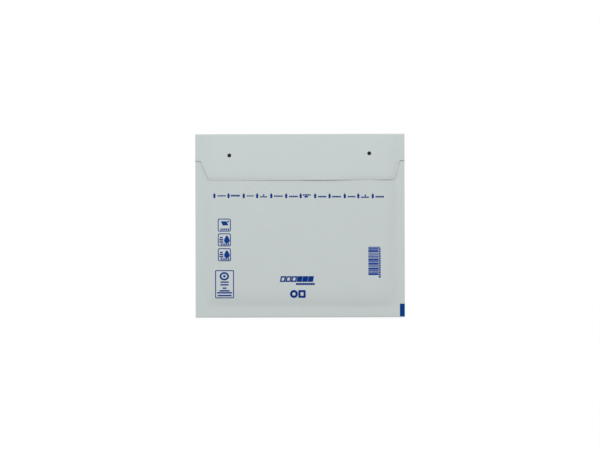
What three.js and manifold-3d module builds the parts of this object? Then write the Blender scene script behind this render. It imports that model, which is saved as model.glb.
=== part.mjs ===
// Bubble mailer for one disc case: a white paper bag lined with bubble film.
// It lies on its back with the flap folded over the front and not yet stuck down.
// Millimetres. +X runs across the mailer, +Y from the bottom fold to the flap fold, +Z up.
// The origin is under the middle of the mailer, on the surface that it lies on.

import * as THREE from 'three';
import { mergeVertices } from 'three/addons/utils/BufferGeometryUtils.js';
import Module from 'manifold-3d';

// Outline of the closed mailer
const bagWidth = 200;
const bagLength = 175.5;

// Thickness of each layer, and the glue line between two layers
const paperThickness = 0.2;
const filmThickness = 0.15;
const glueLine = 0.1;

// Bubble film: height and pitch of the bubbles, and the gap left between front and back ones
const bubbleHeight = 2.6;
const bubblePitch = 12;
const pocketGap = 0.4;
const crownWidthShare = 0.7;

// Side seals: a flat welded band, then a shoulder where the padding swells to full thickness
const sealWidth = 8;
const sealFilmGap = 0.1;
const weldBite = 0.07;
const shoulderWidth = 15;

// Bottom: a pressed flat strip above the fold, a crease, then a slope up to full thickness
const bottomHalfThickness = 0.9;
const pressedStripHeight = 11.2;
const bottomSlopeLength = 18;

// Top: the mouth edge of the front lies under the flap, squeezed thinner than the rest
const mouthBelowFold = 10;
const mouthHalfThickness = 1.6;
const mouthSlopeLength = 30;
const mouthBubbleMargin = 2;
const topFoldRadius = 1.3;

// Flap: its depth from the fold, how far out of square it is cut, the curl of its free edge,
// and how much wider it drapes over the padding's shoulders than the front does
const flapDepth = 44.2;
const flapCutSlope = 0.003;
const flapEdgeLift = 0.4;
const flapLiftLength = 14;
const flapRestGap = 0.2;
const flapDrape = 2;

// Notches cut from the flap's sides: where they start, and how far in they run at each end
const notchBelowFold = 25.6;
const leftNotch = { shoulder: 6, foot: 12.6, fillet: 2.4 };
const rightNotch = { shoulder: 4.4, foot: 9.6, fillet: 0.6 };
const flapCornerRadius = 1;

// Clasp holes, punched through the flap and the front of the bag in one stroke
const claspHoleDiameter = 3.8;
const claspHoles = [
  { fromMiddle: -67.4, belowFold: 20.6 },
  { fromMiddle: 66.2, belowFold: 18.9 },
];

// Peel-and-seal band under the flap
const adhesiveThickness = 0.15;
const adhesiveWidth = 10;
const releaseThickness = 0.15;
const releaseWidth = 14.5;
const releaseFromEdge = 3.2;
const bandFromSide = 5;

// Fineness of the curved stretches
const shoulderSteps = 4;
const foldSteps = 6;
const slopeSteps = 5;
const holeSides = 24;
const stepInset = 0.02;

// Sizes worked out from the ones above
const halfWidth = bagWidth / 2;
const filmDepth = paperThickness + glueLine;
const filmInnerDepth = filmDepth + filmThickness;
const fullHalfThickness = filmInnerDepth + bubbleHeight + pocketGap / 2;
const sealHalfThickness = filmInnerDepth + sealFilmGap / 2;
const seamHeight = fullHalfThickness;
const sealInnerX = halfWidth - sealWidth;
const flatEdgeX = sealInnerX - shoulderWidth;
const bottomY = -bagLength / 2;
const creaseY = bottomY + pressedStripHeight;
const topY = bagLength / 2;
const topTangentY = topY - topFoldRadius;
const mouthY = topY - mouthBelowFold;
const flapEdgeY = topY - flapDepth;
const notchY = topY - notchBelowFold;
const adhesiveDepth = paperThickness + glueLine;
const releaseDepth = adhesiveDepth + adhesiveThickness + glueLine;
const flapClearance = releaseDepth + releaseThickness + flapRestGap - paperThickness;

const { lerp, clamp } = THREE.MathUtils;
const swell = (share) => Math.sin((clamp(share, 0, 1) * Math.PI) / 2);
const ease = (share) => THREE.MathUtils.smoothstep(share, 0, 1);
const steps = (from, to, count) =>
  Array.from({ length: count }, (_, i) => lerp(from, to, (i + 1) / count));

// The padded form: half the thickness of the closed mailer at any place

function fullnessAcross(x, drape = 0) {
  return swell((sealInnerX + drape - Math.abs(x)) / (shoulderWidth + drape));
}

function middleHalfThickness(y) {
  const rise = swell((y - creaseY) / bottomSlopeLength);
  const squeeze = ease((y - mouthY + mouthSlopeLength) / mouthSlopeLength);
  return (
    lerp(bottomHalfThickness, fullHalfThickness, rise) -
    squeeze * (fullHalfThickness - mouthHalfThickness)
  );
}

const pastMouth = (y) => ease((y - mouthY) / (topTangentY - mouthY));

function paddedHalfThickness(fullness, y) {
  return lerp(sealHalfThickness, middleHalfThickness(Math.min(y, mouthY)), fullness);
}

function halfThickness(x, y) {
  return lerp(paddedHalfThickness(fullnessAcross(x), y), topFoldRadius, pastMouth(y));
}

function flapTop(x, y) {
  const under = paddedHalfThickness(fullnessAcross(x, flapDrape), y);
  const lift = flapEdgeLift * ease(1 - (y - flapEdgeY) / flapLiftLength);
  const lying = under + flapClearance + paperThickness + lift;
  return lerp(lying, topFoldRadius, pastMouth(y));
}

// Places on the folded sheet, each a depth below the sheet's outer face

const onFront = (x, y, depth) =>
  new THREE.Vector3(x, y, seamHeight + halfThickness(x, y) - depth);

const onBack = (x, y, depth) =>
  new THREE.Vector3(x, y, seamHeight - halfThickness(x, y) + depth);

function onFlap(x, y, depth) {
  const outOfSquare = (x * flapCutSlope * (topY - y)) / flapDepth;
  return new THREE.Vector3(x, y + outOfSquare, seamHeight + flapTop(x, y) - depth);
}

function onBottomFold(x, angle, depth) {
  const outer = halfThickness(x, bottomY);
  const radius = outer - depth;
  const y = bottomY + outer - radius * Math.sin(angle);
  return new THREE.Vector3(x, y, seamHeight + radius * Math.cos(angle));
}

function onTopFold(x, angle, depth) {
  const radius = topFoldRadius - depth;
  const y = topTangentY + radius * Math.sin(angle);
  return new THREE.Vector3(x, y, seamHeight - radius * Math.cos(angle));
}

// Lines across the mailer, where a sheet is sampled

function shoulderColumns() {
  return [flatEdgeX, ...steps(flatEdgeX, sealInnerX, shoulderSteps), halfWidth];
}

function mirrored(columns) {
  return [...columns.map((x) => -x).reverse(), 0, ...columns];
}

const sheetColumns = mirrored([flatEdgeX / 3, (flatEdgeX * 2) / 3, ...shoulderColumns()]);

function notchInset(notch, y) {
  const below = notchY - y;
  if (below <= 0) return 0;
  const slant = (notch.foot - notch.shoulder) * (below / (notchY - flapEdgeY));
  const fillet = cornerRounding(notch.fillet, below);
  return notch.shoulder + slant - fillet + cornerRounding(flapCornerRadius, y - flapEdgeY);
}

function cornerRounding(radius, distance) {
  if (distance >= radius) return 0;
  return radius - Math.sqrt(radius ** 2 - (radius - distance) ** 2);
}

function flapColumns(y) {
  return columnsBetween(
    notchInset(leftNotch, y) - halfWidth,
    halfWidth - notchInset(rightNotch, y),
  );
}

function columnsBetween(left, right) {
  const between = sheetColumns.filter((x) => x > left + stepInset && x < right - stepInset);
  return [left, ...between, right];
}

// Rows along the sheet: the front from mouth to bottom, the fold, the back, the top fold, the flap

const bottomTangentY = (x) => bottomY + halfThickness(x, bottomY);

function panelRows(place) {
  const slopeEndY = creaseY + bottomSlopeLength;
  const padded = [
    mouthY,
    ...steps(mouthY, mouthY - mouthSlopeLength, slopeSteps),
    ...steps(mouthY - mouthSlopeLength, slopeEndY, 2),
    ...steps(slopeEndY, creaseY, slopeSteps),
  ];
  return [
    ...padded.map((y) => ({ y, at: (x, depth) => place(x, y, depth) })),
    ...pressedRows(place),
  ];
}

function pressedRows(place) {
  const middle = {
    at: (x, depth) => place(x, (creaseY + bottomTangentY(x)) / 2, depth),
  };
  const tangent = { at: (x, depth) => place(x, bottomTangentY(x), depth) };
  return [middle, tangent];
}

function bottomFoldRows() {
  const angles = steps(0, Math.PI, foldSteps).slice(0, -1);
  return angles.map((angle) => ({ at: (x, depth) => onBottomFold(x, angle, depth) }));
}

function topRows() {
  const back = steps(mouthY, topTangentY, slopeSteps);
  const angles = steps(0, Math.PI, foldSteps).slice(0, -1);
  return [
    ...back.map((y) => ({ at: (x, depth) => onBack(x, y, depth) })),
    ...angles.map((angle) => ({ at: (x, depth) => onTopFold(x, angle, depth) })),
  ];
}

function flapRows() {
  const fillet = Math.max(leftNotch.fillet, rightNotch.fillet);
  const filletRows = [0.08, 0.25, 0.5, 1].map((share) => notchY - fillet * share);
  const cornerRows = [1, 0.4, 0.1, 0].map((share) => flapEdgeY + flapCornerRadius * share);
  const rows = [
    topTangentY,
    ...steps(topTangentY, mouthY, slopeSteps),
    ...steps(mouthY, notchY, 2),
    notchY - stepInset,
    ...filletRows,
    ...steps(notchY - fillet, flapEdgeY + flapCornerRadius, 3).slice(0, -1),
    ...cornerRows,
  ];
  return rows.map((y) => flapRow(y, flapColumns(y)));
}

function flapRow(y, columns) {
  return { columns, at: (x, depth) => onFlap(x, y, depth) };
}

// Closed skins made of triangles

const linesAt = (rows, depth) =>
  rows.map((row) => (row.columns ?? sheetColumns).map((x) => row.at(x, depth)));

function addTriangle(skin, [a, b, c], flipped) {
  const corners = flipped ? [a, c, b] : [a, b, c];
  for (const corner of corners) skin.push(corner.x, corner.y, corner.z);
}

// Fills the band between two lines of points, leaving out triangles at the points in gaps.
function stitch(skin, upper, lower, flipped = false, gaps = new Set()) {
  let i = 0;
  let k = 0;
  while (i < upper.length - 1 || k < lower.length - 1) {
    const nextUpper = upper[i + 1];
    const nextLower = lower[k + 1];
    const stepsUpper =
      !nextLower ||
      (nextUpper && Math.abs(nextUpper.x - lower[k].x) < Math.abs(nextLower.x - upper[i].x));
    const corners = [upper[i], lower[k], stepsUpper ? nextUpper : nextLower];
    if (!corners.some((corner) => gaps.has(corner))) addTriangle(skin, corners, flipped);
    if (stepsUpper) i += 1;
    else k += 1;
  }
}

function addSideWalls(skin, outer, nextOuter, inner, nextInner) {
  for (const [end, flipped] of [[0, false], [-1, true]]) {
    const [a, b, c, d] = [outer, inner, nextInner, nextOuter].map((line) => line.at(end));
    addTriangle(skin, [a, b, c], flipped);
    addTriangle(skin, [a, c, d], flipped);
  }
}

function sheetSkin(outer, inner, gaps) {
  const skin = [];
  for (let row = 0; row + 1 < outer.length; row += 1) {
    stitch(skin, outer[row], outer[row + 1]);
    stitch(skin, inner[row], inner[row + 1], true, gaps);
    addSideWalls(skin, outer[row], outer[row + 1], inner[row], inner[row + 1]);
  }
  stitch(skin, outer[0], inner[0], true);
  stitch(skin, outer.at(-1), inner.at(-1));
  return skin;
}

function skinGeometry(skin) {
  const soup = new THREE.BufferGeometry();
  soup.setAttribute('position', new THREE.Float32BufferAttribute(skin, 3));
  return mergeVertices(soup);
}

// Solids that are cut and joined

const library = await Module();
library.setup();

function toSolid(geometry) {
  const bare = geometry.clone().deleteAttribute('normal').deleteAttribute('uv');
  const merged = mergeVertices(bare);
  return new library.Manifold(
    new library.Mesh({
      numProp: 3,
      vertProperties: merged.getAttribute('position').array,
      triVerts: new Uint32Array(merged.index.array),
    }),
  );
}

function toGeometry(solid) {
  const { vertProperties, triVerts } = solid.getMesh();
  const geometry = new THREE.BufferGeometry();
  geometry.setAttribute('position', new THREE.BufferAttribute(vertProperties, 3));
  geometry.setIndex(new THREE.BufferAttribute(triVerts, 1));
  geometry.computeVertexNormals();
  return geometry;
}

// One punch for each clasp hole, from above the flap down into the pocket.
function claspPunches() {
  const length = fullHalfThickness * 2;
  return claspHoles.map(({ fromMiddle, belowFold }) => {
    const radius = claspHoleDiameter / 2;
    const punch = new THREE.CylinderGeometry(radius, radius, length, holeSides);
    punch.rotateX(Math.PI / 2);
    punch.translate(fromMiddle, topY - belowFold, seamHeight + length / 2);
    return toSolid(punch);
  });
}

function punched(solid) {
  return claspPunches().reduce((left, punch) => left.subtract(punch), solid);
}

// Paper: one sheet folded up from the bottom, down over the mouth, and cut away at the flap's sides

function paperEnvelope() {
  const front = panelRows(onFront);
  const back = panelRows(onBack).reverse();
  const rows = [...front, ...bottomFoldRows(), ...back, ...topRows(), ...flapRows()];
  const sheet = skinGeometry(sheetSkin(linesAt(rows, 0), linesAt(rows, paperThickness)));
  return toGeometry(punched(toSolid(sheet)));
}

// Bubble film: one web folded with the paper, bubbles inwards, welded flat along both sides.
// Bubbles stand at every second point of a triangular net of rows.

const netStep = bubblePitch / 2;
const netRowStep = netStep * Math.sin(Math.PI / 3);
const netTopY = mouthY - mouthBubbleMargin;
const bubbleRowCount = Math.floor((netTopY - creaseY) / (2 * netRowStep));

function netColumns(rowNumber) {
  const offset = rowNumber % 2 === 0 ? netStep / 2 : 0;
  const count = Math.floor((flatEdgeX - offset) / netStep);
  const right = Array.from({ length: count + 1 }, (_, i) => offset + i * netStep);
  const inner = right.filter((x) => x > 0 && x < flatEdgeX);
  const half = [...inner, ...shoulderColumns()];
  const middle = offset === 0 ? [0] : [];
  return [...half.map((x) => -x).reverse(), ...middle, ...half];
}

// True where the net has a bubble's centre: on odd rows, each row shifted from the last.
function isBubble(rowNumber, x) {
  if (rowNumber % 2 === 0 || Math.abs(x) + netStep > flatEdgeX) return false;
  const shift = rowNumber % 4 === 1 ? 0 : netStep;
  const place = (x - shift) / bubblePitch;
  return Math.abs(place - Math.round(place)) < stepInset;
}

function netRows(place, upwards) {
  const count = 2 * bubbleRowCount + 1;
  const rows = Array.from({ length: count }, (_, rowNumber) => {
    const y = netTopY - rowNumber * netRowStep;
    const columns = netColumns(rowNumber);
    const bubbles = columns.filter((x) => isBubble(rowNumber, x));
    return { y, columns, bubbles, place, upwards, at: (x, depth) => place(x, y, depth) };
  });
  const mouth = { columns: sheetColumns, at: (x, depth) => place(x, mouthY, depth) };
  const crease = { columns: sheetColumns, at: (x, depth) => place(x, creaseY, depth) };
  return [mouth, ...rows, crease, ...pressedRows(place)];
}

function bubbleTopDepth(x, y, share) {
  const free = halfThickness(x, y) - pocketGap / 2 - filmInnerDepth;
  return filmInnerDepth + Math.min(bubbleHeight, free) * share;
}

function addBubble(skin, { place, upwards, y }, x) {
  const ring = (share, depthShare) =>
    Array.from({ length: 6 }, (_, corner) => {
      const angle = (corner * Math.PI) / 3;
      const ringX = x + netStep * share * Math.cos(angle);
      const ringY = y + upwards * netStep * share * Math.sin(angle);
      return place(ringX, ringY, bubbleTopDepth(ringX, ringY, depthShare));
    });
  const base = ring(1, 0);
  const crown = ring(crownWidthShare, 1);
  base.forEach((corner, i) => {
    const next = (i + 1) % base.length;
    addTriangle(skin, [corner, base[next], crown[next]], true);
    addTriangle(skin, [corner, crown[next], crown[i]], true);
  });
  for (const i of [1, 2, 3, 4]) addTriangle(skin, [crown[0], crown[i], crown[i + 1]], true);
}

function sideWeld(side) {
  const length = mouthY - bottomTangentY(halfWidth);
  const weld = new THREE.BoxGeometry(sealWidth, length, sealFilmGap + 2 * weldBite);
  weld.translate(side * (halfWidth - sealWidth / 2), mouthY - length / 2, seamHeight);
  return toSolid(weld);
}

function bubbleLiner() {
  const front = netRows(onFront, 1);
  const back = netRows(onBack, -1).reverse();
  const rows = [...front, ...bottomFoldRows(), ...back];
  const outer = rows.map((row) => sheetColumns.map((x) => row.at(x, filmDepth)));
  const inner = linesAt(rows, filmInnerDepth);
  const centres = rows.flatMap((row, i) =>
    inner[i].filter((point) => (row.bubbles ?? []).includes(point.x)),
  );
  const skin = sheetSkin(outer, inner, new Set(centres));
  for (const row of rows) for (const x of row.bubbles ?? []) addBubble(skin, row, x);
  const welded = toSolid(skinGeometry(skin)).add(sideWeld(-1)).add(sideWeld(1));
  return toGeometry(punched(welded));
}

// Bands under the flap, ending a little short of its slanted sides

function flapBand(fromEdge, width, depth, thickness) {
  const columns = columnsBetween(
    leftNotch.foot + bandFromSide - halfWidth,
    halfWidth - rightNotch.foot - bandFromSide,
  );
  const highY = flapEdgeY + fromEdge + width;
  const heights = [highY, ...steps(highY, highY - width, slopeSteps)];
  const rows = heights.map((y) => flapRow(y, columns));
  return skinGeometry(sheetSkin(linesAt(rows, depth), linesAt(rows, depth + thickness)));
}

function adhesiveStrip() {
  const fromEdge = releaseFromEdge + (releaseWidth - adhesiveWidth) / 2;
  return flapBand(fromEdge, adhesiveWidth, adhesiveDepth, adhesiveThickness);
}

function releaseLiner() {
  return flapBand(releaseFromEdge, releaseWidth, releaseDepth, releaseThickness);
}

// The mailer put together

function part(name, geometry, color, roughness) {
  const material = new THREE.MeshStandardMaterial({ color, roughness, metalness: 0 });
  geometry.computeVertexNormals();
  const mesh = new THREE.Mesh(geometry, material);
  mesh.name = name;
  return mesh;
}

const mailer = new THREE.Group();
mailer.add(
  part('paper_envelope', paperEnvelope(), 0xc6cecc, 0.85),
  part('bubble_liner', bubbleLiner(), 0x6f7577, 0.35),
  part('adhesive_strip', adhesiveStrip(), 0xd8cf9c, 0.3),
  part('release_liner', releaseLiner(), 0xe9ecec, 0.4),
);

export default mailer;
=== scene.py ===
import math
import random

import bpy
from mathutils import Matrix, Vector, noise


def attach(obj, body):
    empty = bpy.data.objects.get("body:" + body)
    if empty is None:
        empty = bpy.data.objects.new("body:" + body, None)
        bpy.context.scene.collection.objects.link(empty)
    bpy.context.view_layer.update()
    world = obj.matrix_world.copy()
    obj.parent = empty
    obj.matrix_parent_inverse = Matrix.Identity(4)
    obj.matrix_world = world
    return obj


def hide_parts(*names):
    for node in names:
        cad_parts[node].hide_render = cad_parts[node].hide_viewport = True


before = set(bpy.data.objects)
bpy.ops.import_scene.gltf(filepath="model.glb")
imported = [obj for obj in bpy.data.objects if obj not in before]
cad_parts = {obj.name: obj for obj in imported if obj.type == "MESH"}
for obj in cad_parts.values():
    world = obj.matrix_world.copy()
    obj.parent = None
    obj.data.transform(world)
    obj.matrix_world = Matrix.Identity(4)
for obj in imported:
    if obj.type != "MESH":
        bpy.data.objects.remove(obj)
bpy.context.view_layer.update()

# The camera. It looks straight down on the mailer, which lies on its back with the
# flap at the top of the picture, and the picture is turned a trace to the left.
MM = 0.001
picture_width = 572.6 * MM
lens, film_width = 100, 36
front_height = 6.5 * MM
picture_centre = (-0.06 * MM, 0.62 * MM)
picture_turn = math.radians(-0.15)

camera_height = front_height + picture_width * lens / film_width
bpy.ops.object.camera_add(location=(*picture_centre, camera_height), rotation=(0, 0, picture_turn))
camera = bpy.context.object
camera.data.lens = lens
camera.data.sensor_width = film_width
camera.data.clip_end = 20
bpy.context.scene.camera = camera


# Paper envelope. One sheet of white kraft paper, die-cut flat, folded up over the padding
# from the bottom fold, and down again over the mouth as the flap. The flap's sides are
# notched, and two clasp holes are punched through the flap and the front together.
bag_width, bag_length = 200 * MM, 175.5 * MM
paper_thickness = 0.2 * MM
full_half, mouth_half, pressed_half, seal_half = 3.25 * MM, 1.6 * MM, 0.9 * MM, 0.5 * MM
seal_inner_x = bag_width / 2 - 8 * MM
shoulder_width = 15 * MM
left_steepness, right_steepness = 0.95, 0.7
bottom_y, top_y = -bag_length / 2, bag_length / 2
crease_y = bottom_y + 11.2 * MM
bottom_slope = 18 * MM
mouth_y = top_y - 10 * MM
mouth_slope = 30 * MM
bridge_y = mouth_y - 20 * MM
top_radius = 1.3 * MM
top_tangent_y = top_y - top_radius
flap_depth = 44.2 * MM
flap_edge_y = top_y - flap_depth
flap_clearance = 0.7 * MM
flap_drape = 2 * MM
flap_curl = 0.36 * MM
curl_length = 16 * MM

# Curls of the free edge: share of the full curl, middle and reach in shares of the bag's width.
flap_curls = [(0.55, 0, 0.24), (0.4, 0.14, 0.115), (0.6, 0.4, 0.04)]
edge_bend = 3.2 * MM
flap_touch = 0.06 * MM
flap_cut_slope = 0.003
notch_y = top_y - 25.6 * MM

# Notches: inset at the shoulder, inset at the free edge, radius between shoulder and slant.
left_notch = (6.0 * MM, 13.0 * MM, 2.4 * MM)
right_notch = (4.4 * MM, 9.6 * MM, 0.6 * MM)

# Rims along the slants: the notch, the height where they start, their width, how far they close.
left_rim = (left_notch, notch_y + 4 * MM, 3.2 * MM, 0.1)
right_rim = (right_notch, notch_y - 0.5 * MM, 5 * MM, 0.6)
rim_fade = 3 * MM

hole_radius = 1.9 * MM
hole_places = [(-67.4 * MM, 67.15 * MM), (66.2 * MM, 68.85 * MM)]
waviness = 0.12 * MM
broad_wave, fine_wave, fine_layer = 34 * MM, 15 * MM, 9
back_share = 0.6
bubble_pitch = 12 * MM
row_pitch = bubble_pitch * 0.866
bubble_show = 0.03 * MM


def clamp(share):
    """A share kept between nothing and all."""
    return max(0.0, min(1.0, share))


def swell(share):
    """A rise that starts steep and ends level, as paper rises from a seal."""
    return math.sin(clamp(share) * math.pi / 2)


def ease(share):
    """A rise that starts level and ends level."""
    share = clamp(share)
    return share * share * (3 - 2 * share)


def mix(low, high, share):
    """The value a share of the way from low to high."""
    return low + (high - low) * share


def padding(x, y):
    """How far the bubbles inside and the paper's own slackness lift the paper at a place."""
    inside = swell((seal_inner_x - abs(x)) / shoulder_width) * clamp((y - crease_y) / bottom_slope)
    broad = noise.noise(Vector((x, y, 0)) / broad_wave)
    fine = noise.noise(Vector((x, y, fine_layer)) / fine_wave)
    slack = 1 + broad + 0.5 * fine
    row = y / row_pitch
    along = 2 * math.pi * x / bubble_pitch
    bubbles = math.cos(along) * math.cos(math.pi * row) * 0.5 + math.cos(2 * math.pi * row) * 0.25
    return inside * (waviness * slack * 0.5 + bubble_show * bubbles)


def padded_half(x, y, drape=0):
    """Half the pack's thickness up to the mouth; a drape lets the flap lie rounder over the shoulders."""
    inner_y = min(y, mouth_y)
    steepness = mix(left_steepness, right_steepness, x / bag_width + 0.5)
    rise = swell(clamp((inner_y - crease_y) / bottom_slope) ** steepness)
    squeeze = ease((inner_y - mouth_y + mouth_slope) / mouth_slope)
    middle = mix(pressed_half, full_half, rise) - squeeze * (full_half - mouth_half)
    across = swell((seal_inner_x + drape - abs(x)) / (shoulder_width + drape))
    return mix(seal_half, middle, across)


def past_mouth(y):
    """How far a place is past the mouth, on the way to the top fold."""
    return ease((y - mouth_y) / (top_tangent_y - mouth_y))


def half_thickness(x, y):
    return mix(padded_half(x, y), top_radius, past_mouth(y))


def front_surface(x, y):
    return full_half + half_thickness(x, y) + padding(x, min(y, mouth_y)) * (1 - past_mouth(y))


def back_surface(x, y):
    """The back lies flat on the table, so its hollows only go up."""
    lift = back_share * max(0, padding(x, min(y, mouth_y)))
    return full_half - half_thickness(x, y) + lift * (1 - past_mouth(y))


def notch_inset(notch, y):
    """How far in from the bag's side the flap's slanted side lies."""
    shoulder, foot, _ = notch
    return mix(shoulder, foot, (notch_y - y) / (notch_y - flap_edge_y))


def edge_curl(x):
    """The free edge curls up in the middle, more to the right of it, and near its right end."""
    curl = 0
    for share, middle, reach in flap_curls:
        curl += share * math.exp(-((x / bag_width - middle) / reach) ** 4)
    return curl


def near_edge(y, reach):
    """One at the flap's free edge, fading to nothing at a reach from it."""
    return ease(1 - (y - flap_edge_y) / reach)


def flap_closed(x, y):
    """Share by which the flap's rim bends down past the seal band until it nearly touches."""
    free_edge = (1 - edge_curl(x)) * near_edge(y, edge_bend)
    notch, start, bend, share = left_rim if x < 0 else right_rim
    from_side = bag_width / 2 - notch_inset(notch, y) - abs(x)
    side = share * ease(1 - from_side / bend) * ease((start - y) / rim_fade)
    return max(free_edge, side)


def flap_height(x, y):
    """The flap follows the front as far as the bridge, and goes straight to the top fold from there."""
    lifted = flap_curl * edge_curl(x) * near_edge(y, curl_length)
    lying = padded_half(x, min(y, bridge_y), flap_drape) + flap_clearance + lifted
    bridged = clamp((y - bridge_y) / (top_tangent_y - bridge_y))
    lying = mix(lying, top_radius - paper_thickness, bridged)
    lying = mix(lying, padded_half(x, y) + flap_touch, flap_closed(x, y))
    return lying + paper_thickness + padding(x, min(y, mouth_y)) * (1 - past_mouth(y))


# Places along the flat sheet, measured from the mouth's edge of the front.
bottom_tangent_y = bottom_y + pressed_half
front_end = mouth_y - bottom_tangent_y
bottom_end = front_end + math.pi * pressed_half
back_end = bottom_end + (top_tangent_y - bottom_tangent_y)
top_end = back_end + math.pi * top_radius
flap_end = top_end + (top_tangent_y - flap_edge_y)


def folded(x, along, depth):
    """Where a point of the flat sheet comes to lie, at a depth under the outer face."""
    if along <= front_end:
        y = pressed_y(x, mouth_y - along)
        return Vector((x, y, front_surface(x, y) - depth))
    if along <= bottom_end:
        outer = half_thickness(x, bottom_y)
        angle = (along - front_end) / pressed_half
        reach = (outer - depth) * math.sin(angle)
        return Vector((x, bottom_y + outer - reach, full_half + (outer - depth) * math.cos(angle)))
    if along <= back_end:
        y = pressed_y(x, bottom_tangent_y + along - bottom_end)
        return Vector((x, y, back_surface(x, y) + depth))
    if along <= top_end:
        angle = (along - back_end) / top_radius
        reach = (top_radius - depth) * math.sin(angle)
        return Vector((x, top_tangent_y + reach, full_half - (top_radius - depth) * math.cos(angle)))
    y = top_tangent_y - (along - top_end)
    slant = x * flap_cut_slope * (top_y - y) / flap_depth
    return Vector((x, y + slant, full_half + flap_height(x, y) - depth))


def pressed_y(x, y):
    """Below the crease the strip is drawn out a little where the fold is thinner."""
    if y >= crease_y:
        return y
    drawn_low = bottom_y + half_thickness(x, bottom_y)
    return mix(drawn_low, crease_y, (y - bottom_tangent_y) / (crease_y - bottom_tangent_y))


def lines(marks, spacings):
    """Evenly spaced values between marks, each stretch with its own spacing."""
    values = [marks[0]]
    for start, end, spacing in zip(marks, marks[1:], spacings):
        count = max(1, round((end - start) / spacing))
        values += [mix(start, end, (step + 1) / count) for step in range(count)]
    return values


def pick(*shapes):
    """Selects only these shapes, the first of them active."""
    bpy.ops.object.select_all(action="DESELECT")
    for shape in shapes:
        shape.select_set(True)
    bpy.context.view_layer.objects.active = shapes[0]


def thicken(shape, thickness, side):
    """Gives a surface a thickness, below its face for side -1 and above it for 1."""
    pick(shape)
    wall = shape.modifiers.new("thickness", "SOLIDIFY")
    wall.thickness = thickness
    wall.offset = side
    bpy.ops.object.modifier_apply(modifier=wall.name)


def flat_sheet(name, columns, rows):
    """A flat sheet with its lines at the given places, face up."""
    across, down = len(columns) - 1, len(rows) - 1
    bpy.ops.object.select_all(action="DESELECT")
    bpy.ops.mesh.primitive_grid_add(x_subdivisions=across, y_subdivisions=down, size=2)
    sheet = bpy.context.object
    sheet.name = name
    for vertex in sheet.data.vertices:
        column = round((vertex.co.x + 1) / 2 * across)
        row = round((vertex.co.y + 1) / 2 * down)
        vertex.co = (columns[column], rows[row], 0)
    return sheet


def cut_away(sheet, cutter):
    """Takes the cutter out of the sheet and removes it."""
    pick(sheet)
    cut = sheet.modifiers.new("cut", "BOOLEAN")
    cut.operation = "DIFFERENCE"
    cut.solver = "EXACT"
    cut.object = cutter
    bpy.ops.object.modifier_apply(modifier=cut.name)
    bpy.data.objects.remove(cutter)


smallest_edge = 0.002 * MM
crease_angle = math.radians(35)


def fold_up(sheet, depth=0):
    """Folds a flat sheet that lies a depth under the paper's outer face.

    The flat sheet is laid out downwards, so folding mirrors it and its faces are turned back."""
    pick(sheet)
    bpy.ops.object.mode_set(mode="EDIT")
    bpy.ops.mesh.select_all(action="SELECT")
    bpy.ops.mesh.remove_doubles(threshold=smallest_edge)
    bpy.ops.mesh.flip_normals()
    bpy.ops.object.mode_set(mode="OBJECT")
    for vertex in sheet.data.vertices:
        vertex.co = folded(vertex.co.x, vertex.co.y, depth - vertex.co.z)
    split = sheet.modifiers.new("triangles", "TRIANGULATE")
    bpy.ops.object.modifier_apply(modifier=split.name)
    bpy.ops.object.shade_smooth_by_angle(angle=crease_angle)


def filled_outline(corners):
    """One flat face with the given corners, listed anticlockwise."""
    bpy.ops.object.select_all(action="DESELECT")
    bpy.ops.mesh.primitive_circle_add(vertices=len(corners), radius=1, fill_type="NGON")
    shape = bpy.context.object
    for vertex, (x, y) in zip(shape.data.vertices, corners):
        vertex.co = (x, y, 0)
    return shape


flap_corner, corner_steps = 1 * MM, 6
cutter_height = 2 * MM


def notch_cutter(side, notch):
    """A block standing over one side of the flat flap: shoulder, rounded corner and slant."""
    shoulder, foot, fillet = notch
    start = top_end + top_tangent_y - notch_y
    slope = (foot - shoulder) / (flap_end - start)
    beyond = 2 * MM
    outline = [(-beyond, start), (shoulder - fillet, start)]
    for step in range(1, corner_steps + 1):
        turn = step / corner_steps * math.pi / 2
        inset = shoulder - fillet + fillet * math.sin(turn)
        outline.append((inset, start + fillet * (1 - math.cos(turn))))
    last = foot - slope * flap_corner
    for step in range(corner_steps + 1):
        turn = step / corner_steps * math.pi / 2
        inset = last + flap_corner * (1 - math.cos(turn))
        outline.append((inset, flap_end - flap_corner + flap_corner * math.sin(turn)))
    outline += [(foot + flap_corner, flap_end + beyond), (-beyond, flap_end + beyond)]
    cutter = filled_outline([(side * (bag_width / 2 - inset), along) for inset, along in outline])
    for vertex in cutter.data.vertices:
        vertex.co.z = -cutter_height / 2
    bpy.ops.object.mode_set(mode="EDIT")
    bpy.ops.mesh.select_all(action="SELECT")
    bpy.ops.mesh.extrude_region_move(TRANSFORM_OT_translate={"value": (0, 0, cutter_height)})
    bpy.ops.mesh.select_all(action="SELECT")
    bpy.ops.mesh.normals_make_consistent(inside=False)
    bpy.ops.object.mode_set(mode="OBJECT")
    return cutter


def hole_cutter(x, along):
    """A round punch through the flat sheet."""
    punch_sides, punch_height = 40, 8 * MM
    bpy.ops.object.select_all(action="DESELECT")
    bpy.ops.mesh.primitive_cylinder_add(
        vertices=punch_sides, radius=hole_radius, depth=punch_height, location=(x, along, 0))
    return bpy.context.object


def flap_along(x, y):
    """How far along the flat sheet a place on the flap lies."""
    slope = x * flap_cut_slope / flap_depth
    return top_end + top_tangent_y - (y - slope * top_y) / (1 - slope)


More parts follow.
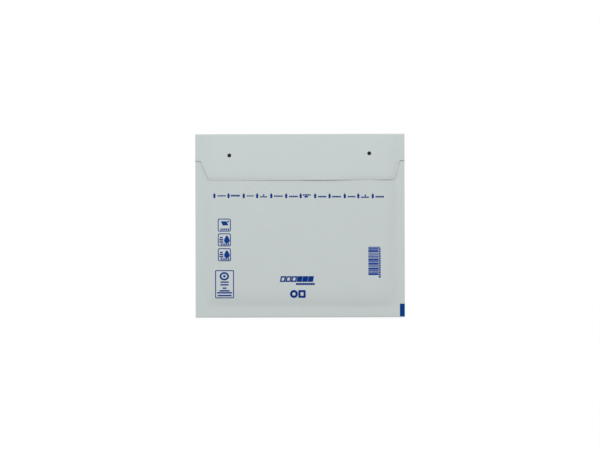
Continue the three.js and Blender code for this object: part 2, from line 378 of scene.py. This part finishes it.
column_marks = [0, seal_inner_x - 12 * MM, seal_inner_x, bag_width / 2]
half_columns = lines(column_marks, [1.7 * MM, 0.8 * MM, 1.6 * MM])
sheet_columns = [-x for x in reversed(half_columns[1:])] + half_columns
fold_marks = [0, front_end, bottom_end, back_end, top_end, flap_end]
sheet_rows = lines(fold_marks, [1.6 * MM, 0.5 * MM, 2.4 * MM, 0.35 * MM, 1.2 * MM])
paper = flat_sheet("paper_bag", sheet_columns, sheet_rows)
thicken(paper, paper_thickness, -1)
cut_away(paper, notch_cutter(-1, left_notch))
cut_away(paper, notch_cutter(1, right_notch))
for hole_x, hole_y in hole_places:
    cut_away(paper, hole_cutter(hole_x, mouth_y - hole_y))
    cut_away(paper, hole_cutter(hole_x, flap_along(hole_x, hole_y)))
fold_up(paper)


def new_material(name, colour, roughness):
    """A plain finish, and the nodes and links that detail is added to."""
    material = bpy.data.materials.new(name)
    material.use_nodes = True
    nodes, links = material.node_tree.nodes, material.node_tree.links
    shader = nodes["Principled BSDF"]
    shader.inputs["Base Color"].default_value = (*colour, 1)
    shader.inputs["Roughness"].default_value = roughness
    return material, nodes, links, shader


def linear(red, green, blue):
    """A colour as a screen shows it, from 0 to 255, as the light that it stands for."""
    return tuple(((c / 255 + 0.055) / 1.055) ** 2.4 for c in (red, green, blue))


def noise_node(nodes, links, scale, detail, roughness=0.5):
    """Even grain over the object, finer for a larger scale."""
    place = nodes.new("ShaderNodeTexCoord")
    grain = nodes.new("ShaderNodeTexNoise")
    grain.inputs["Scale"].default_value = scale
    grain.inputs["Detail"].default_value = detail
    grain.inputs["Roughness"].default_value = roughness
    links.new(place.outputs["Object"], grain.inputs["Vector"])
    return grain


def blend_colours(nodes, links, factor, low, high, spread=(0.35, 0.65)):
    """A colour that goes from low to high as the factor crosses the spread."""
    ramp = nodes.new("ShaderNodeValToRGB")
    ramp.color_ramp.elements[0].position = spread[0]
    ramp.color_ramp.elements[1].position = spread[1]
    ramp.color_ramp.elements[0].color = (*low, 1)
    ramp.color_ramp.elements[1].color = (*high, 1)
    links.new(factor, ramp.inputs["Fac"])
    return ramp.outputs["Color"]


def relief(nodes, links, shader, height, distance, strength):
    """Fine bumps and hollows on a finish, up to a distance high."""
    bump = nodes.new("ShaderNodeBump")
    bump.inputs["Strength"].default_value = strength
    bump.inputs["Distance"].default_value = distance
    links.new(height, bump.inputs["Height"])
    links.new(bump.outputs["Normal"], shader.inputs["Normal"])


paper_finish, nodes, links, shader = new_material("white_kraft", linear(198, 206, 204), 0.82)
clouds = noise_node(nodes, links, 90, 4)
cloud_low, cloud_high = linear(195, 203, 202), linear(196, 204, 203)
tint = blend_colours(nodes, links, clouds.outputs["Fac"], cloud_low, cloud_high)
fibres = noise_node(nodes, links, 1400, 2, 0.6)
fibre_low, fibre_high = (0.955, 0.955, 0.955), (1, 1, 1)
speck = blend_colours(nodes, links, fibres.outputs["Fac"], fibre_low, fibre_high, (0.3, 0.6))
product = nodes.new("ShaderNodeMix")
product.data_type = "RGBA"
product.blend_type = "MULTIPLY"
product.inputs["Factor"].default_value = 1
links.new(tint, product.inputs["A"])
links.new(speck, product.inputs["B"])
links.new(product.outputs["Result"], shader.inputs["Base Color"])
relief(nodes, links, shader, fibres.outputs["Fac"], 0.03 * MM, 0.6)
shader.inputs["Specular IOR Level"].default_value = 0.3
paper.data.materials.append(paper_finish)
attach(paper, "root")
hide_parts("paper_envelope")


# Bubble liner. One web of clear polyethylene bubble film, glued inside the paper with its
# bubbles inwards, folded with it and welded flat along both sides.
film_depth = 0.3 * MM
film_thickness = 0.1 * MM
film_gap = 0.2 * MM
bubble_radius, bubble_height = 5 * MM, 2.5 * MM
last_bubble_y = mouth_y - 4 * MM
weld_start = seal_inner_x - 0.1 * MM
weld_inner_depth = 0.98 * seal_half
haze_start = seal_inner_x - 1 * MM
liner_end = bottom_end + mouth_y - bottom_tangent_y


def bubble_rise(x, along):
    """Height of the film's bubbles over its base: round domes set in staggered rows."""
    y = folded(x, along, 0).y
    if abs(x) > seal_inner_x - shoulder_width or not crease_y < y < last_bubble_y:
        return 0
    room = half_thickness(x, y) - film_depth - film_thickness - film_gap
    row = round(along / row_pitch)
    shift = bubble_pitch / 2 if row % 2 else 0
    off_x = (x - shift) - bubble_pitch * round((x - shift) / bubble_pitch)
    distance = math.hypot(off_x, along - row * row_pitch) / bubble_radius
    return min(bubble_height, room) * math.sqrt(max(0, 1 - distance ** 4))


liner_columns = lines([-seal_inner_x, seal_inner_x], [1.45 * MM])
weld_columns = [seal_inner_x + 4 * MM, bag_width / 2]
liner_columns = [-x for x in reversed(weld_columns)] + liner_columns + weld_columns
liner_rows = lines([0, front_end, bottom_end, liner_end], [1.45 * MM, 0.7 * MM, 1.45 * MM])
liner = flat_sheet("bubble_film", liner_columns, liner_rows)
for vertex in liner.data.vertices:
    vertex.co.z = -bubble_rise(vertex.co.x, vertex.co.y)
thicken(liner, film_thickness, -1)
for vertex in liner.data.vertices:
    if abs(vertex.co.x) > weld_start:
        outer_side = vertex.co.z > -film_thickness / 2
        vertex.co.z = film_depth - (paper_thickness if outer_side else weld_inner_depth)
for hole_x, hole_y in hole_places:
    cut_away(liner, hole_cutter(hole_x, mouth_y - hole_y))
fold_up(liner, film_depth)

# The film's own colour is painted near black. This is painted shade for the dark inside of the pocket,
# seen through the clasp holes and the mouth. Towards the welds it turns to the pale haze that welding
# gives the film.
painted_shade_film, film_hazy = (0.05, 0.055, 0.055), (0.62, 0.64, 0.65)
film_finish, nodes, links, shader = new_material("film_with_painted_shade", painted_shade_film, 0.2)
place = nodes.new("ShaderNodeTexCoord")
axes = nodes.new("ShaderNodeSeparateXYZ")
from_middle = nodes.new("ShaderNodeMath")
from_middle.operation = "ABSOLUTE"
welded = nodes.new("ShaderNodeMapRange")
welded.inputs["From Min"].default_value = haze_start
welded.inputs["From Max"].default_value = seal_inner_x
links.new(place.outputs["Object"], axes.inputs["Vector"])
links.new(axes.outputs["X"], from_middle.inputs[0])
links.new(from_middle.outputs[0], welded.inputs["Value"])
shade_and_haze = blend_colours(nodes, links, welded.outputs["Result"], painted_shade_film, film_hazy, (0, 1))
links.new(shade_and_haze, shader.inputs["Base Color"])
shader.inputs["Transmission Weight"].default_value = 0.2
shader.inputs["IOR"].default_value = 1.45
wrinkles = noise_node(nodes, links, 260, 3)
relief(nodes, links, shader, wrinkles.outputs["Fac"], 0.15 * MM, 0.5)
liner.data.materials.append(film_finish)
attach(liner, "root")
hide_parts("bubble_liner")


# Seal band. A line of pale hot-melt adhesive inside the flap, under a smooth release film
# that is wider than it. Both end a little short of the flap's slanted sides.
band_from_side = 5 * MM


def flap_band(name, from_edge, width, depth, thickness):
    """A band on the inside of the flap, along its free edge."""
    high = flap_end - from_edge
    left, right = (bag_width / 2 - notch[1] - band_from_side for notch in (left_notch, right_notch))
    columns = lines([-left, right], [1.9 * MM])
    band = flat_sheet(name, columns, lines([high - width, high], [1.5 * MM]))
    thicken(band, thickness, -1)
    fold_up(band, depth)
    return band


adhesive = flap_band(
    "adhesive_line", from_edge=5.5 * MM, width=10 * MM, depth=0.3 * MM, thickness=0.12 * MM)
adhesive_finish, nodes, links, shader = new_material("hot_melt", linear(214, 205, 168), 0.28)
blobs = noise_node(nodes, links, 300, 3)
relief(nodes, links, shader, blobs.outputs["Fac"], 0.1 * MM, 0.6)
adhesive.data.materials.append(adhesive_finish)
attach(adhesive, "root")
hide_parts("adhesive_strip")

release = flap_band(
    "release_film", from_edge=3.2 * MM, width=14.5 * MM, depth=0.46 * MM, thickness=0.08 * MM)
release_finish, nodes, links, shader = new_material("release_gloss", linear(226, 229, 229), 0.32)
ripples = noise_node(nodes, links, 120, 2)
relief(nodes, links, shader, ripples.outputs["Fac"], 0.1 * MM, 0.4)
release.data.materials.append(release_finish)
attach(release, "root")
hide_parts("release_liner")


# Opening line. A row of small upright arrows across the front, printed in dark blue ink,
# with a run of small plain dashes after each of them. Its places are in millimetres.
ink_lift, ink_thickness = 0.012 * MM, 0.02 * MM
ink_spacing = 1.8 * MM


def printed_bar(x, y, width, height):
    """A plain block of ink, its middle at x, y, in millimetres."""
    bpy.ops.object.select_all(action="DESELECT")
    bpy.ops.mesh.primitive_plane_add(size=1)
    block = bpy.context.object
    for vertex in block.data.vertices:
        vertex.co = ((x + vertex.co.x * width) * MM, (y + vertex.co.y * height) * MM, 0)
    return block


def printed_disc(x, y, width, height, sides):
    """A round patch of ink."""
    bpy.ops.object.select_all(action="DESELECT")
    bpy.ops.mesh.primitive_circle_add(vertices=sides, radius=0.5, fill_type="NGON")
    disc = bpy.context.object
    for vertex in disc.data.vertices:
        vertex.co = ((x + vertex.co.x * width) * MM, (y + vertex.co.y * height) * MM, 0)
    return disc


def hollowed(shape, line):
    """Leaves only a line of ink round the edge of a filled shape."""
    pick(shape)
    bpy.ops.object.mode_set(mode="EDIT")
    bpy.ops.mesh.select_all(action="SELECT")
    bpy.ops.mesh.inset(thickness=line * MM, depth=0)
    bpy.ops.mesh.delete(type="FACE")
    bpy.ops.object.mode_set(mode="OBJECT")
    return shape


def rounded(shape, radius):
    """Rounds the corners of a filled shape."""
    pick(shape)
    bpy.ops.object.mode_set(mode="EDIT")
    bpy.ops.mesh.select_all(action="SELECT")
    bpy.ops.mesh.bevel(offset=radius * MM, segments=6, affect="VERTICES")
    bpy.ops.object.mode_set(mode="OBJECT")
    return shape


def print_on_front(name, shapes, finish):
    """Joins shapes, cuts them up finely and lays them on the front of the bag as a thin layer of ink."""
    pick(*shapes)
    layer = shapes[0]
    if len(shapes) > 1:
        bpy.ops.object.join()
    layer.name = name
    bpy.ops.object.mode_set(mode="EDIT")
    for axis, normal in enumerate([Vector((1, 0, 0)), Vector((0, 1, 0))]):
        reach = [vertex.co[axis] for vertex in layer.data.vertices]
        count = int((max(reach) - min(reach)) / ink_spacing)
        for step in range(1, count + 1):
            place = normal * (min(reach) + step * ink_spacing)
            bpy.ops.mesh.select_all(action="SELECT")
            bpy.ops.mesh.bisect(plane_co=place, plane_no=normal)
    bpy.ops.object.mode_set(mode="OBJECT")
    for vertex in layer.data.vertices:
        x, y, _ = vertex.co
        vertex.co.z = front_surface(x, y) + ink_lift
    thicken(layer, ink_thickness, 1)
    layer.data.materials.append(finish)
    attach(layer, "root")


def ink(name, colour, worn):
    """Matt printing ink that is thin in spots, where the worn colour shows."""
    finish, nodes, links, shader = new_material(name, colour, 0.7)
    shader.inputs["Specular IOR Level"].default_value = 0.06
    wear = noise_node(nodes, links, 2400, 2, 0.6)
    tone = blend_colours(nodes, links, wear.outputs["Fac"], worn, colour, (0.25, 0.45))
    links.new(tone, shader.inputs["Base Color"])
    relief(nodes, links, shader, wear.outputs["Fac"], 0.02 * MM, 0.4)
    return finish


dark_ink = ink("dark_blue_ink", linear(0, 46, 122), linear(10, 64, 142))
row_left, row_length, row_left_y, row_right_y = -81.7, 151.2, 28.85, 28.25
arrow_places = [-81.7, -68.2, -53.66, -40.88, -27.35, -13.19, 0.69, 14.48, 28.23, 42.74, 55.66, 69.45]

# Runs of dashes: their left and right ends, how high the dashes are, how far over the row they lie.
dash_runs = [
    (-78.9, -70.8, 1.2, -0.2), (-66.0, -57.4, 1.7, 0.0), (-50.8, -44.1, 1.1, -0.2),
    (-38.3, -31.2, 1.2, -1.1), (-25.0, -16.4, 1.3, -0.4), (-10.6, -2.0, 1.5, -0.7),
    (2.6, 10.4, 1.3, 0.8), (17.1, 25.2, 1.5, -0.8), (30.5, 39.1, 1.5, -0.8),
    (45.3, 52.9, 1.4, -0.8), (58.2, 65.8, 1.3, -1.3), (72.0, 80.2, 1.6, -0.8),
]
dash_pitch, dash_gap = 1.7, 0.2

# Extra blocks: place along the row, place over it, width and height.
extra_blocks = [(-34.7, 0.5, 1.2, 1.8), (62.3, 0.4, 1.2, 1.8), (5.9, -0.9, 3.4, 1.6)]
arrow_outline = [(-1, -2.3), (1, -2.3), (1, 0.15), (1.45, 0.15), (0, 2.7), (-1.45, 0.15), (-1, 0.15)]


def row_height(x):
    """The row was printed a trace askew, lower to the right."""
    return mix(row_left_y, row_right_y, (x - row_left) / row_length)


row_shapes = []
for arrow_x in arrow_places:
    corners = [(arrow_x + across, row_height(arrow_x) + up) for across, up in arrow_outline]
    row_shapes.append(filled_outline([(x * MM, y * MM) for x, y in corners]))
for run_low, run_high, run_height, rise in dash_runs:
    dashes = round((run_high - run_low) / dash_pitch)
    pitch = (run_high - run_low) / dashes
    for dash in range(dashes):
        dash_x = run_low + (dash + 0.5) * pitch
        row_shapes.append(printed_bar(dash_x, row_height(dash_x) + rise, pitch - dash_gap, run_height))
for block_x, rise, block_width, block_height in extra_blocks:
    row_shapes.append(printed_bar(block_x, row_height(block_x) + rise, block_width, block_height))
print_on_front("opening_line", row_shapes, dark_ink)


# Care squares. Three outlined squares down the left side, each with a plain solid mark and
# short blocks beside it, as a maker prints hints on how the pack is made and thrown away.
def square_outline(y):
    """A line round a square with rounded corners."""
    return hollowed(rounded(printed_bar(-72.3, y, 12.5, 12.4), 1.6), 0.85)


def slanted(shape, slope, foot):
    """Leans a shape over from its foot, to the right for a slope above zero."""
    for vertex in shape.data.vertices:
        vertex.co.x += (vertex.co.y - foot * MM) * slope
    return shape


def printed_drop(x, y, width):
    """A disc drawn out to a point on top."""
    narrowing, point = 0.25, 0.34
    drop = printed_disc(x, y, width, width, 36)
    for vertex in drop.data.vertices:
        above = max(0, vertex.co.y / MM - y) / (width / 2)
        vertex.co.x = mix(vertex.co.x, x * MM, narrowing * above)
        vertex.co.y += point * width * MM * above ** 2
    return drop


def caption(y):
    """A row of five small blocks."""
    return [printed_bar(-75.3 + block * 1.75, y, 1.2, 1.9) for block in range(5)]


square_middles, drop_squares = [0.7, -13.4, -27.55], [-13.6, -27.7]
leaf_y, leaf_lean = 2.4, -0.45
hint_blocks = [(2.4, 2.6), (0.3, 3.8), (-1.8, 3.6)]
square_shapes = [square_outline(middle_y) for middle_y in square_middles]
square_shapes.append(slanted(printed_bar(-72.0, leaf_y, 5.4, 4.0), leaf_lean, leaf_y))
square_shapes.append(printed_disc(-68.6, 4.1, 1.8, 1.8, 16))
square_shapes += caption(-3.4)
for mark_y in drop_squares:
    square_shapes.append(printed_drop(-69.9, mark_y - 0.3, 5.5))
    for block_y, block_width in hint_blocks:
        square_shapes.append(printed_bar(-75.2, mark_y + block_y, block_width, 1.4))
    square_shapes += caption(mark_y - 4.0)
mid_ink = ink("mid_blue_ink", linear(4, 54, 132), linear(18, 74, 154))
print_on_front("care_squares", square_shapes, mid_ink)


# Maker's box. A tall outlined box at the lower left, with a ring at its top and plain bars
# where a maker would set small print.
box_x, box_y, ring_x, ring_y = -72.2, -55.75, -72.4, -48.1
box_shapes = [hollowed(rounded(printed_bar(box_x, box_y, 18, 26.9), 1.1), 0.9)]
box_shapes.append(hollowed(printed_disc(ring_x, ring_y, 9.0, 8.0, 40), 1.7))
box_shapes.append(printed_disc(ring_x, ring_y, 2.6, 2.4, 24))
small_print = [(-53.7, 7.9), (-56.3, 7.9), (-59.5, 3.7), (-62.0, 9.6), (-63.9, 14.2), (-66.6, 13.3)]
for bar_y, bar_width in small_print:
    box_shapes.append(printed_bar(box_x, bar_y, bar_width, 1.35))
print_on_front("maker_box", box_shapes, mid_ink)


# Name place and size place. Slanted blocks low in the middle of the front, where a maker
# would set a name and a line under it, and below them a ring and a square for the size.
name_shapes = []
name_slant, name_y, under_y, size_y = 0.2, -50.95, -55.7, -65.2
for block in range(6):
    shape = printed_bar(-16.4 + block * 5.3, name_y, 5.1, 5.5)
    if block < 3:
        shape = hollowed(shape, 1.35)
    name_shapes.append(slanted(shape, name_slant, name_y))
for block in range(9):
    shape = printed_bar(-3.09 + block * 2, under_y, 1.85, 2.0)
    name_shapes.append(slanted(shape, name_slant, under_y))
name_shapes.append(hollowed(printed_disc(-6.0, size_y, 7.6, 7.7, 48), 2.25))
name_shapes.append(hollowed(rounded(printed_bar(1.7, size_y, 7.0, 7.5), 0.7), 2.1))
print_on_front("name_place", name_shapes, dark_ink)


# Stock bars. A ladder of plain bars of mixed widths at the right, as stock control prints
# them, with a longer bar above it, plain ticks beside it and no figures.
stock_bars = random.Random(7)
bar_heights, bar_gaps = [0.7, 1.1, 1.5, 2.0], [0.35, 0.35, 0.5]
ladder_x, ladder_width, ladder_top, ladder_end = 69.9, 9.7, -21.6, -46.8
tick_x, first_tick_y, tick_pitch = 75.9, -22.6, 2.2
bar_shapes = []
bar_y = ladder_top
while bar_y > ladder_end:
    bar_height = stock_bars.choice(bar_heights)
    bar_shapes.append(printed_bar(ladder_x, bar_y - bar_height / 2, ladder_width, bar_height))
    bar_y -= bar_height + stock_bars.choice(bar_gaps)
bar_shapes.append(printed_bar(70.7, -20.8, 11.2, 0.9))
for tick in range(13):
    bar_shapes.append(printed_bar(tick_x, first_tick_y - tick * tick_pitch, 1.9, 1.7))
stock_ink = ink("stock_ink", linear(20, 60, 140), linear(40, 84, 168))
print_on_front("stock_bars", bar_shapes, stock_ink)


# Corner patch. A solid block of brighter blue at the right edge above the bottom fold,
# where the press checks its colour.
patch = printed_bar(97.6, -80.9, 4.7, 12.2)
bright_ink = ink("bright_blue_ink", linear(0, 58, 122), linear(8, 68, 132))
print_on_front("corner_patch", [patch], bright_ink)


# Floor and light. A white floor that keeps a soft shadow, a pale room all round, and one
# large soft lamp high beyond the flap. The floor glows white in the picture, and its shadow
# and the light that it throws back on the bag are those of pale grey paint.
floor_grey, floor_glow, glow_share = 0.84, 1.02, 0.93
room_light, room_seen = 0.62, 1.0
lamp_place, lamp_width, lamp_power = Vector((-0.12, 1.25, 1.45)), 0.9, 19

bpy.ops.object.select_all(action="DESELECT")
bpy.ops.mesh.primitive_plane_add(size=6, location=(0, 0, -0.05 * MM))
floor = bpy.context.object
floor.name = "floor"
floor_finish = bpy.data.materials.new("white_floor")
floor_finish.use_nodes = True
nodes, links = floor_finish.node_tree.nodes, floor_finish.node_tree.links
nodes.clear()
surface = nodes.new("ShaderNodeOutputMaterial")
matt = nodes.new("ShaderNodeBsdfDiffuse")
matt.inputs["Color"].default_value = (floor_grey, floor_grey, floor_grey, 1)
glow = nodes.new("ShaderNodeEmission")
glow.inputs["Strength"].default_value = floor_glow
seen = nodes.new("ShaderNodeMixShader")
path = nodes.new("ShaderNodeLightPath")
either = nodes.new("ShaderNodeMath")
either.operation = "MAXIMUM"
links.new(path.outputs["Is Camera Ray"], either.inputs[0])
links.new(path.outputs["Is Glossy Ray"], either.inputs[1])
any_view = nodes.new("ShaderNodeMath")
any_view.operation = "MAXIMUM"
links.new(either.outputs[0], any_view.inputs[0])
links.new(path.outputs["Is Transmission Ray"], any_view.inputs[1])
share = nodes.new("ShaderNodeMath")
share.operation = "MULTIPLY"
share.inputs[1].default_value = glow_share
links.new(any_view.outputs[0], share.inputs[0])
links.new(share.outputs[0], seen.inputs["Fac"])
links.new(matt.outputs[0], seen.inputs[1])
links.new(glow.outputs[0], seen.inputs[2])
links.new(seen.outputs[0], surface.inputs["Surface"])
floor.data.materials.append(floor_finish)

world = bpy.data.worlds.new("pale_room")
bpy.context.scene.world = world
world.use_nodes = True
nodes, links = world.node_tree.nodes, world.node_tree.links
room = nodes["Background"]
room.inputs["Color"].default_value = (1, 1, 1, 1)
room_path = nodes.new("ShaderNodeLightPath")
room_level = nodes.new("ShaderNodeMix")
room_level.inputs["A"].default_value = room_light
room_level.inputs["B"].default_value = room_seen
links.new(room_path.outputs["Is Camera Ray"], room_level.inputs["Factor"])
links.new(room_level.outputs["Result"], room.inputs["Strength"])

bpy.ops.object.light_add(type="AREA", location=lamp_place)
lamp = bpy.context.object
lamp.data.shape = "DISK"
lamp.data.size = lamp_width
lamp.data.energy = lamp_power
lamp.rotation_euler = (-lamp_place).to_track_quat("-Z", "Y").to_euler()

bpy.context.scene.view_settings.view_transform = "Standard"
